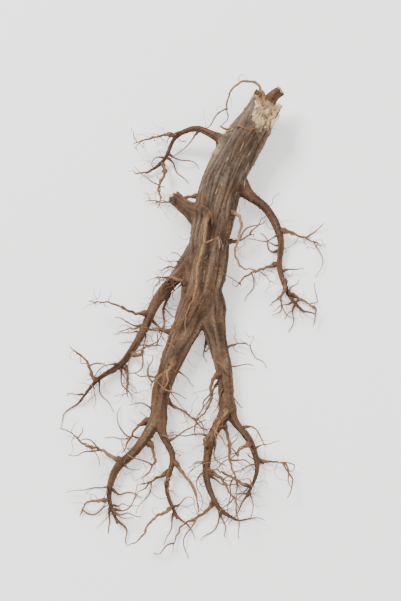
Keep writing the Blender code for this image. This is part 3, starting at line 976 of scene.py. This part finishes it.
def thickened(piece, thickness, offset):
    """Gives a sheet its wall in millimetres: offset -1 grows it inwards, and 0 to both sides."""
    wall = piece.modifiers.new("thickness", "SOLIDIFY")
    wall.thickness = thickness * MM
    wall.offset = offset


# Finishes

class Noise(NamedTuple):
    """A noise with cells of a size in millimetres, on Object coordinates or on a vector mark of the mesh."""

    place: str
    cells: tuple
    detail: float = 4.0
    roughness: float = 0.6
    distortion: float = 0.0


class Layer(NamedTuple):
    """A colour laid over those before it, where a value is in its range, times its most and a mark."""

    colour: tuple
    source: str
    low: float
    high: float
    most: float = 1.0
    mark: object = 1.0


def add_node(tree, kind, inputs, output=0, **settings):
    """Adds a node with its settings, feeds its inputs with values or sockets, and gives one output."""
    made = tree.nodes.new("ShaderNode" + kind)
    for name, value in settings.items():
        setattr(made, name, value)
    for name, value in inputs.items():
        if isinstance(value, bpy.types.NodeSocket):
            tree.links.new(value, made.inputs[name])
        else:
            made.inputs[name].default_value = value
    return made.outputs[output]


def finish(name, marks, noises, base, layers, rough, bumps, depth, mixes=()):
    """A material from tables that name its noises and the marks on its mesh.

    A mix joins two values by a share. Colour starts from the base and takes each layer in turn.
    Roughness is a value's range brought to another range. The bump is a weighted sum of values, and its
    depth is in millimetres. Cellulose has the default index, but its dry, porous skin shines less, so
    the specular level is low.
    """
    material = bpy.data.materials.new(name)
    material.use_nodes = True
    tree = material.node_tree
    shader = tree.nodes["Principled BSDF"]
    found = {mark: add_node(tree, "Attribute", {}, "Fac", attribute_name=mark) for mark in marks}
    for key, noise in noises.items():
        if noise.place == "Object":
            place, size = add_node(tree, "TexCoord", {}, "Object"), MM
        else:
            place, size = add_node(tree, "Attribute", {}, "Vector", attribute_name=noise.place), 1.0
        rates = [1 / (cell * size) for cell in noise.cells]
        place = add_node(tree, "VectorMath", {0: place, 1: rates}, operation="MULTIPLY")
        found[key] = add_node(tree, "TexNoise", {
            "Vector": place, "Scale": 1.0, "Detail": noise.detail, "Roughness": noise.roughness,
            "Distortion": noise.distortion,
        })
    for key, under, over, share in mixes:
        found[key] = add_node(tree, "Mix", {0: found.get(share, share), 2: found[under], 3: found[over]})
    colour = base
    for over, source, low, high, most, mark in layers:
        share = add_node(tree, "MapRange", {"Value": found[source], 1: low, 2: high, 3: 0.0, 4: most})
        share = add_node(tree, "Math", {0: share, 1: found.get(mark, mark)}, operation="MULTIPLY")
        colour = add_node(tree, "Mix", {0: share, 6: colour, 7: over}, 2, data_type="RGBA")
    height = 0.0
    for source, weight in bumps:
        height = add_node(tree, "Math", {0: found[source], 1: weight, 2: height}, operation="MULTIPLY_ADD")
    source, low, high, first, last = rough
    dull = add_node(tree, "MapRange", {"Value": found[source], 1: low, 2: high, 3: first, 4: last})
    bump = add_node(tree, "Bump", {"Distance": depth * MM, "Height": height})
    for socket, given in (("Base Color", colour), ("Roughness", dull), ("Normal", bump)):
        tree.links.new(given, shader.inputs[socket])
    shader.inputs["Specular IOR Level"].default_value = 0.3
    return material


def dried_bark(colours):
    """Cork bark shrivelled by air drying: matt, pale with dust and a painted highlight on its ridges, with
    painted shade in its folds and cracks, and a painted highlight on the raised ridge on the body's left.
    """
    return finish(
        "air_dried_cork_bark",
        marks=("seam", "brown", "grey", "flank", "red", "relief", "dust_and_highlight", "ridge", "wood"),
        noises={
            "lengthwise": Noise("straight", (0.4, 0.4, 4.8), 5.0, 0.65, 0.5),
            "slanted": Noise("twisted", (0.35, 0.35, 3.0), 4.0, 0.65, 0.3),
            "crumbs": Noise("Object", (0.45, 0.45, 0.7), 4.0, 0.7),
            "patches": Noise("Object", (4.5, 4.5, 7.5), 4.0, 0.6, 0.8),
            "warmth": Noise("Object", (3.0, 5.0, 3.0), 4.0, 0.55, 0.6),
            "cracks": Noise("straight", (0.15, 0.15, 0.9), 4.0, 0.65, 0.4),
            "fibres": Noise("straight", (0.25, 0.25, 2.5)),
        },
        base=colours.bark_dark,
        layers=(
            Layer(colours.bark_middle, "streaks", 0.34, 0.66),
            Layer(colours.bark_warm, "warmth", 0.50, 0.66, 0.7),
            Layer(colours.bark_warm, "brown", 0.0, 1.0, 0.45),
            Layer(colours.bark_grey, "patches", 0.48, 0.64, 0.75, "grey"),
            Layer(colours.bark_grey, "flank", 0.1, 1.0, 0.8),
            Layer(colours.rootlet_dark, "red", 0.0, 1.0),
            Layer(colours.rootlet_middle, "streaks", 0.36, 0.64, 1.0, "red"),
            Layer(colours.bark_dark, "patches", 0.52, 0.40, 0.7, "red"),
            # Painted shade: darker towards the bottom of the folds.
            Layer(colours.bark_fold_shade, "relief", 0.0, -0.8, 0.8),
            # Pale dust specks on the ridge tops, partly a painted highlight.
            Layer(colours.bark_dust, "crumbs", 0.40, 0.62, 0.8, "dust_and_highlight"),
            # Painted highlight along the raised ridge on the body's left.
            Layer(colours.bark_ridge_highlight, "streaks", 0.42, 0.55, 1.0, "ridge"),
            # Painted shade in the fine crack lines, which the bump also sinks.
            Layer(colours.bark_fold_shade, "cracks", 0.50, 0.66, 0.7),
            Layer(colours.wood_dark, "wood", 0.0, 1.0),
            Layer(colours.wood_pale, "fibres", 0.36, 0.62, 1.0, "wood"),
            # Painted shade: darker in the pits of the torn wood.
            Layer(colours.wood_pit_shade, "relief", 0.0, -1.0, 0.8, "wood"),
        ),
        rough=("streaks", 0.3, 0.7, 0.95, 0.78),
        bumps=(("streaks", 0.6), ("crumbs", 0.5), ("cracks", -0.4)),
        depth=0.32,
        mixes=(("streaks", "lengthwise", "crumbs", "seam"), ("streaks", "streaks", "slanted", 0.4)),
    )


def rootlet_skin(colours):
    """Thin root skin dried onto a wiry core: tan to orange-brown and creased, with painted shade in its
    creases and a faint satin.
    """
    return finish(
        "wiry_rootlet_skin",
        marks=("shade", "tipward", "foot"),
        noises={
            "streaks": Noise("straight", (0.3, 0.3, 2.2), 4.0, 0.6, 0.3),
            "creases": Noise("straight", (1.1, 1.1, 0.32), 4.0, 0.65, 0.4),
        },
        base=colours.rootlet_dark,
        layers=(
            Layer(colours.rootlet_middle, "shade", 0.0, 1.0),
            Layer(colours.rootlet_pale, "streaks", 0.42, 0.66, 0.8),
            Layer(colours.rootlet_orange, "tipward", 0.35, 1.0, 0.6),
            Layer(colours.rootlet_pale, "shade", 1.0, 2.0, 0.9),
            # Painted shade: darker in the creases, which the bump sinks.
            Layer(colours.rootlet_dark, "creases", 0.50, 0.64, 0.75),
            Layer(colours.bark_dark, "foot", 0.0, 1.0, 0.9),
            Layer(colours.bark_warm, "streaks", 0.38, 0.62, 0.9, "foot"),
        ),
        rough=("streaks", 0.3, 0.7, 0.75, 0.6),
        bumps=(("streaks", 1.0), ("creases", -1.0)),
        depth=0.14,
    )


def torn_wood(colours):
    """Soft root wood torn across: pale straw fibres with browner ends, quite matt.

    Its grain is drawn 0.12 mm wide, a few times as coarse as real fibres, so that it shows.
    """
    return finish(
        "torn_root_wood",
        marks=("shade", "tipward"),
        noises={"grain": Noise("straight", (0.12, 0.12, 0.9), 3.0)},
        base=colours.wood_dark,
        layers=(
            Layer(colours.wood_pale, "shade", 0.0, 1.0),
            Layer(colours.wood_dark, "grain", 0.46, 0.62, 0.8),
            Layer(colours.rootlet_middle, "tipward", 0.7, 1.0, 0.45),
        ),
        rough=("grain", 0.3, 0.7, 0.9, 0.75),
        bumps=(("grain", 1.0),),
        depth=0.12,
    )


def loose_flake(colours):
    """Outer cork split off in papery flakes: grey-tan, paler at the lifted edge."""
    return finish(
        "papery_cork_flake",
        marks=("shade", "edge"),
        noises={"crumbs": Noise("Object", (0.4, 0.4, 0.4), 4.0, 0.7)},
        base=colours.bark_middle,
        layers=(
            Layer(colours.bark_grey, "shade", 0.0, 1.0),
            Layer(colours.bark_dust, "crumbs", 0.35, 0.6, 1.0, "edge"),
        ),
        rough=("crumbs", 0.3, 0.7, 0.95, 0.8),
        bumps=(("crumbs", 1.0),),
        depth=0.08,
    )


def white_board(glow):
    """Matt white board: it glows a little, so that it stays pale under the soft lights."""
    material = bpy.data.materials.new("matt_white_board")
    material.use_nodes = True
    shader = material.node_tree.nodes["Principled BSDF"]
    shader.inputs["Base Color"].default_value = linear("#faf9f7")
    shader.inputs["Roughness"].default_value = 0.9
    shader.inputs["Emission Color"].default_value = linear("#ffffff")
    shader.inputs["Emission Strength"].default_value = glow
    return material


# Settings

def length_property(name, description, millimetres):
    """A length that a user can change, given in millimetres."""
    return FloatProperty(name=name, description=description, default=millimetres * MM,
                         min=0.0, precision=5, unit="LENGTH")


def colour_property(name, description, text):
    """A colour that a user can change, given as an sRGB hex value."""
    return FloatVectorProperty(name=name, description=description, default=linear(text),
                               size=4, min=0.0, max=1.0, subtype="COLOR")


def count_property(name, description, number):
    """A number of like things that a user can change."""
    return IntProperty(name=name, description=description, default=number, min=1)


class RootSizes(bpy.types.PropertyGroup):
    """Sizes and counts of the root's surface detail."""

    cell_size: length_property("Cell size", "Fineness of the bark's mesh", 0.295)
    blend_width: length_property("Blend width", "How softly two members' wrinkles meet", 0.5)
    fold_depth: length_property("Fold depth", "Depth of the long folds of the bark", 0.30)
    pleat_depth: length_property("Pleat depth", "Depth of the narrow pleats on the folds", 0.12)
    ring_depth: length_property("Ring depth", "Depth of the creases across the root", 0.16)
    grain_depth: length_property("Grain depth", "Depth of the cork's grain", 0.045)
    warts: count_property("Warts", "Warts and pits on the bark", 240)
    flakes: count_property("Flakes", "Loose flakes of bark", 36)
    twigs: count_property("Twigs", "Fine branches of the rootlets", 150)
    hairs: count_property("Hairs", "Root hairs", 420)
    fibres: count_property("Fibres", "Loose fibres on the torn crown", 340)


class RootColours(bpy.types.PropertyGroup):
    """Colours of the root's bark, wood and rootlets."""

    bark_dark: colour_property("Bark, dark", "Darker streaks of the bark", "#4a392d")
    bark_middle: colour_property("Bark, middle", "Main colour of the bark", "#6f5742")
    bark_warm: colour_property("Bark, warm", "Browner stretches of the bark", "#745137")
    bark_grey: colour_property("Bark, grey", "Grey stretches of the bark", "#776657")
    # Painted shade: this dark colour darkens the bottoms of the folds and the fine cracks.
    bark_fold_shade: colour_property("Bark folds", "Bottom of the folds", "#261b15")
    # Pale dust colour of the ridge tops, where it is partly a painted highlight, and of the flakes' lifted
    # edges.
    bark_dust: colour_property("Bark dust", "Dusty tops of the ridges", "#a38f74")
    # Painted highlight: this pale colour lights the raised ridge on the body's left side.
    bark_ridge_highlight: colour_property("Bark ridge", "Worn pale ridge on the body's left side", "#c9b697")
    wood_pale: colour_property("Wood, pale", "Paler fibres of the torn crown", "#e8cfa6")
    wood_dark: colour_property("Wood, dark", "Browner fibres of the torn crown", "#b39269")
    # Painted shade: this dark colour darkens the pits between the torn fibres.
    wood_pit_shade: colour_property("Wood pits", "Pits between the torn fibres", "#5c422c")
    # Also the painted shade in the rootlets' creases.
    rootlet_dark: colour_property("Rootlets, dark", "Darker rootlets and their creases", "#553826")
    rootlet_middle: colour_property("Rootlets, middle", "Main colour of the rootlets", "#835d3d")
    rootlet_orange: colour_property("Rootlets, orange", "Tips of the rootlets", "#94602f")
    rootlet_pale: colour_property("Rootlets, pale", "Worn pale streaks of the rootlets", "#ac8a63")


# Operators

class BuildBark(bpy.types.Operator):
    """Build the root's skin: body, legs, side roots, neck and torn crown in one mesh"""

    bl_idname = "ginseng.build_bark"
    bl_label = "Bark and crown"

    def execute(self, context):
        scene = context.scene
        mesh = bark_mesh("root_bark", scene.root_sizes)
        bark = finished(mesh, dried_bark(scene.root_colours))
        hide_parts(NODE)
        return {"FINISHED"}


class BuildFlakes(bpy.types.Operator):
    """Lay thin loose flakes of bark on the skin"""

    bl_idname = "ginseng.build_flakes"
    bl_label = "Bark flakes"

    def execute(self, context):
        scene = context.scene
        mesh = flake_mesh("bark_flakes", bpy.data.meshes["root_bark"], scene.root_sizes)
        flakes = finished(mesh, loose_flake(scene.root_colours))
        thickened(flakes, thickness=0.06, offset=-1.0)
        return {"FINISHED"}


class BuildCrownFibres(bpy.types.Operator):
    """Stand torn fibres on the crown's face and rim, and curl its torn skin"""

    bl_idname = "ginseng.build_crown_fibres"
    bl_label = "Crown fibres"

    def execute(self, context):
        scene = context.scene
        wood = torn_wood(scene.root_colours)
        chance = np.random.default_rng(61)
        routes, radii = fibre_routes(scene.root_sizes.fibres, chance)
        mesh = wires("crown_fibres", routes, radii, chance.uniform(0, 1, len(routes)), sides=4)
        finished(mesh, wood)
        curls = finished(curl_mesh("torn_curls"), wood)
        thickened(curls, thickness=0.28, offset=0.0)
        smooth = curls.modifiers.new("rounding", "SUBSURF")
        smooth.levels = smooth.render_levels = 1
        return {"FINISHED"}


class BuildRootlets(bpy.types.Operator):
    """Grow the rootlets of the solid, the threads at the legs' tips, and the twigs that branch off"""

    bl_idname = "ginseng.build_rootlets"
    bl_label = "Rootlets and twigs"

    def execute(self, context):
        scene = context.scene
        skin = rootlet_skin(scene.root_colours)
        chance = np.random.default_rng(5)
        routes = rootlet_centres()
        shade = chance.uniform(0, 1, len(routes))
        shade[:len(SHOWN_SHADES)] = SHOWN_SHADES
        mesh = wires("rootlets", routes, rootlet_radii(routes, chance), shade, sides=12, knotty=0.3)
        finished(mesh, skin)
        tails, thick = tail_routes(chance)
        mesh = wires("tail_threads", tails, thick, np.full(len(tails), 0.35), sides=12, knotty=0.25)
        finished(mesh, skin)
        number = scene.root_sizes.twigs
        starts, headings = sprouts(routes, number, chance, on_routes=0.3, on_members=0.25)
        steps = chance.uniform(0.6, 1.25, len(starts))
        twigs = grown(starts, headings, steps, chance, count=11, curl=0.36, droop=0.05, margin=0.35)
        twigs = smoothed(twigs, 2)
        radii = thinning(chance.uniform(0.15, 0.28, (len(twigs), 1)), 1.2, 0.45, twigs.shape[1])
        radii = radii * (1 + 0.7 * foot_share(twigs))
        mesh = wires("twigs", twigs, radii, chance.uniform(0, 1, len(twigs)), sides=7, knotty=0.2)
        finished(mesh, skin)
        return {"FINISHED"}


class BuildHairs(bpy.types.Operator):
    """Grow fine root hairs from the thin legs and rootlets"""

    bl_idname = "ginseng.build_hairs"
    bl_label = "Root hairs"

    def execute(self, context):
        chance = np.random.default_rng(77)
        number = context.scene.root_sizes.hairs
        starts, headings = sprouts(rootlet_centres(), number, chance, on_routes=0.25, on_members=0.1)
        steps = chance.uniform(0.3, 0.75, len(starts))
        routes = grown(starts, headings, steps, chance, count=12, curl=0.5, droop=0.03, margin=0.2)
        radii = thinning(chance.uniform(0.05, 0.10, (len(routes), 1)), 1.3, 0.5, routes.shape[1])
        mesh = wires("root_hairs", routes, radii, chance.uniform(0, 1, len(routes)), sides=4)
        finished(mesh, bpy.data.materials["wiry_rootlet_skin"])
        return {"FINISHED"}


def aim(thing, place, target):
    """Puts a lamp or camera at a place, and points it at a target."""
    thing.location = place
    thing.rotation_euler = (Vector(target) - Vector(place)).to_track_quat("-Z", "Y").to_euler()


def soft_light(name, target, place, size, power):
    """Square area light that points at the root."""
    lamp = bpy.data.lights.new(name, "AREA")
    lamp.size = size
    lamp.energy = power
    made = bpy.data.objects.new(name, lamp)
    bpy.context.scene.collection.objects.link(made)
    aim(made, place, target)


class BuildStage(bpy.types.Operator):
    """Set the pale floor, the soft lights and the camera that looks down on the root"""

    bl_idname = "ginseng.build_stage"
    bl_label = "Floor, light and camera"

    azimuth = math.radians(-9)
    elevation = math.radians(70)
    lens = 85.0
    distance = 0.415
    target = (0.0, -0.022, 0.004)
    floor_half = 3.0
    floor_drop = 0.05
    floor_glow = 0.6
    sky_strength = 0.75

    def floor(self, scene):
        """A large square just below the root."""
        mesh = bpy.data.meshes.new("floor")
        ends = (-1, -1), (1, -1), (1, 1), (-1, 1)
        corners = [(x * self.floor_half, y * self.floor_half, -self.floor_drop * MM) for x, y in ends]
        mesh.from_pydata(corners, [], [(0, 1, 2, 3)])
        mesh.materials.append(white_board(self.floor_glow))
        floor = bpy.data.objects.new("floor", mesh)
        scene.collection.objects.link(floor)

    def sky(self, scene):
        """Even white light from all round."""
        world = bpy.data.worlds.new("studio")
        world.use_nodes = True
        background = world.node_tree.nodes["Background"]
        background.inputs["Color"].default_value = linear("#ffffff")
        background.inputs["Strength"].default_value = self.sky_strength
        scene.world = world

    def camera(self, scene):
        """The camera stands back from its target, turned by the azimuth and raised by the elevation."""
        camera = bpy.data.cameras.new("camera")
        camera.lens = self.lens
        made = bpy.data.objects.new("camera", camera)
        scene.collection.objects.link(made)
        level = math.cos(self.elevation)
        back = Vector((
            -math.sin(self.azimuth) * level, -math.cos(self.azimuth) * level, math.sin(self.elevation),
        ))
        aim(made, Vector(self.target) + back * self.distance, self.target)
        scene.camera = made

    def execute(self, context):
        self.floor(context.scene)
        self.sky(context.scene)
        soft_light("key", self.target, place=(-0.5, 0.35, 0.65), size=0.35, power=11.5)
        soft_light("fill", self.target, place=(0.6, -0.3, 0.6), size=0.7, power=4.0)
        self.camera(context.scene)
        return {"FINISHED"}


class RootPanel(bpy.types.Panel):
    """Steps and settings of the dried ginseng root"""

    bl_idname = "VIEW3D_PT_ginseng_root"
    bl_label = "Dried ginseng root"
    bl_space_type = "VIEW_3D"
    bl_region_type = "UI"
    bl_category = "Ginseng root"

    def draw(self, context):
        for step in STEPS:
            self.layout.operator(step.bl_idname)
        for group in (context.scene.root_sizes, context.scene.root_colours):
            box = self.layout.box()
            for name in group.__annotations__:
                box.prop(group, name)


STEPS = (BuildBark, BuildFlakes, BuildCrownFibres, BuildRootlets, BuildHairs, BuildStage)
CLASSES = (RootSizes, RootColours, *STEPS, RootPanel)


def register():
    for made in CLASSES:
        bpy.utils.register_class(made)
    bpy.types.Scene.root_sizes = PointerProperty(type=RootSizes)
    bpy.types.Scene.root_colours = PointerProperty(type=RootColours)


def unregister():
    del bpy.types.Scene.root_sizes
    del bpy.types.Scene.root_colours
    for made in reversed(CLASSES):
        bpy.utils.unregister_class(made)


def main():
    register()
    bpy.ops.ginseng.build_bark()
    bpy.ops.ginseng.build_flakes()
    bpy.ops.ginseng.build_crown_fibres()
    bpy.ops.ginseng.build_rootlets()
    bpy.ops.ginseng.build_hairs()
    bpy.ops.ginseng.build_stage()


if __name__ == "__main__":
    main()
